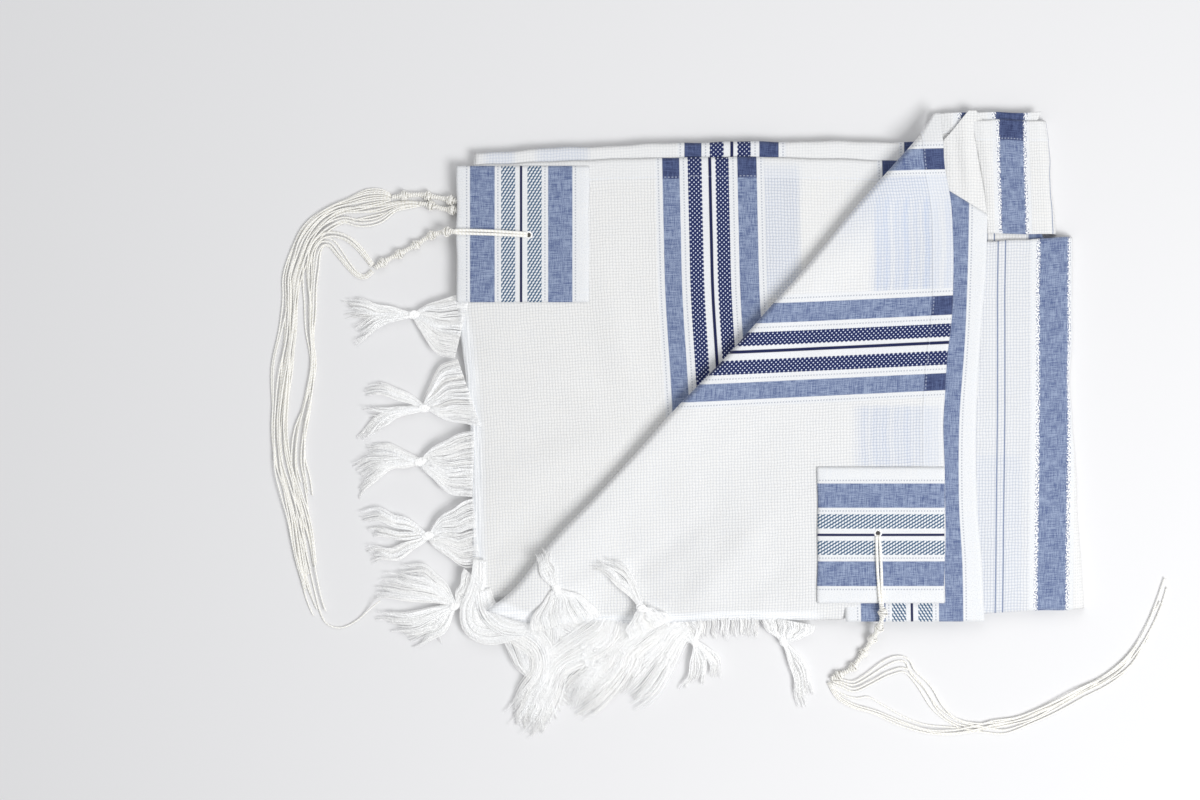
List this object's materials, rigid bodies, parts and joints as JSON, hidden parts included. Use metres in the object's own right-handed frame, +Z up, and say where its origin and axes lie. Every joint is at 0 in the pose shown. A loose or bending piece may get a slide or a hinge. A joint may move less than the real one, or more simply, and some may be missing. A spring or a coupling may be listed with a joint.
{
  "type": "tallit prayer shawl",
  "caption": "Folded tallit of open white weave with blue woven stripes, one corner turned back over a diagonal, corner patches, knotted fringe and tzitzit.",
  "frame": {"origin": "middle of the folded shawl's box without its loose cords, on the surface it lies on", "axes": "+X from the fringed ends towards the long folds, +Y from the half-width fold towards the cloth's long edges, +Z up"},
  "size_m": [0.6561, 0.4594, 0.0291],
  "materials": {
    "gauze_white": "matt open cotton weave with blue woven stripe groups",
    "striped_weave": "matt blue and white striped weave of patches and neckband",
    "fringe_cotton": "soft loose white cotton threads",
    "tzitzit_yarn": "twisted ivory yarn with a low sheen"
  },
  "bodies": {
    "root": {"folded_core": "gauze_white", "back_panel": "gauze_white", "front_panel": "gauze_white", "tucked_fold": "gauze_white", "right_upper_rear": "gauze_white", "right_upper_front": "gauze_white", "right_lower_fold": "gauze_white", "front_flap": "gauze_white", "neckband": "striped_weave", "patch_front": "striped_weave", "patch_flap": "striped_weave", "fringe_left_1": "fringe_cotton", "fringe_left_2": "fringe_cotton", "fringe_left_3": "fringe_cotton", "fringe_left_4": "fringe_cotton", "fringe_left_5": "fringe_cotton", "fringe_end_1": "fringe_cotton", "fringe_end_2": "fringe_cotton", "fringe_end_3": "fringe_cotton", "fringe_end_4": "fringe_cotton", "fringe_end_5": "fringe_cotton", "fringe_end_6": "fringe_cotton", "fringe_end_7": "fringe_cotton", "tzitzit_front_stem": "tzitzit_yarn", "tzitzit_flap_stem": "tzitzit_yarn", "tzitzit_back_stem": "tzitzit_yarn", "tzitzit_inner_stem": "tzitzit_yarn", "tzitzit_back_lock": "tzitzit_yarn", "tzitzit_inner_lock": "tzitzit_yarn", "tzitzit_front_lock_1": "tzitzit_yarn", "tzitzit_front_lock_2": "tzitzit_yarn", "tzitzit_flap_lock_1": "tzitzit_yarn", "tzitzit_flap_lock_2": "tzitzit_yarn"}
  },
  "joints": []
}
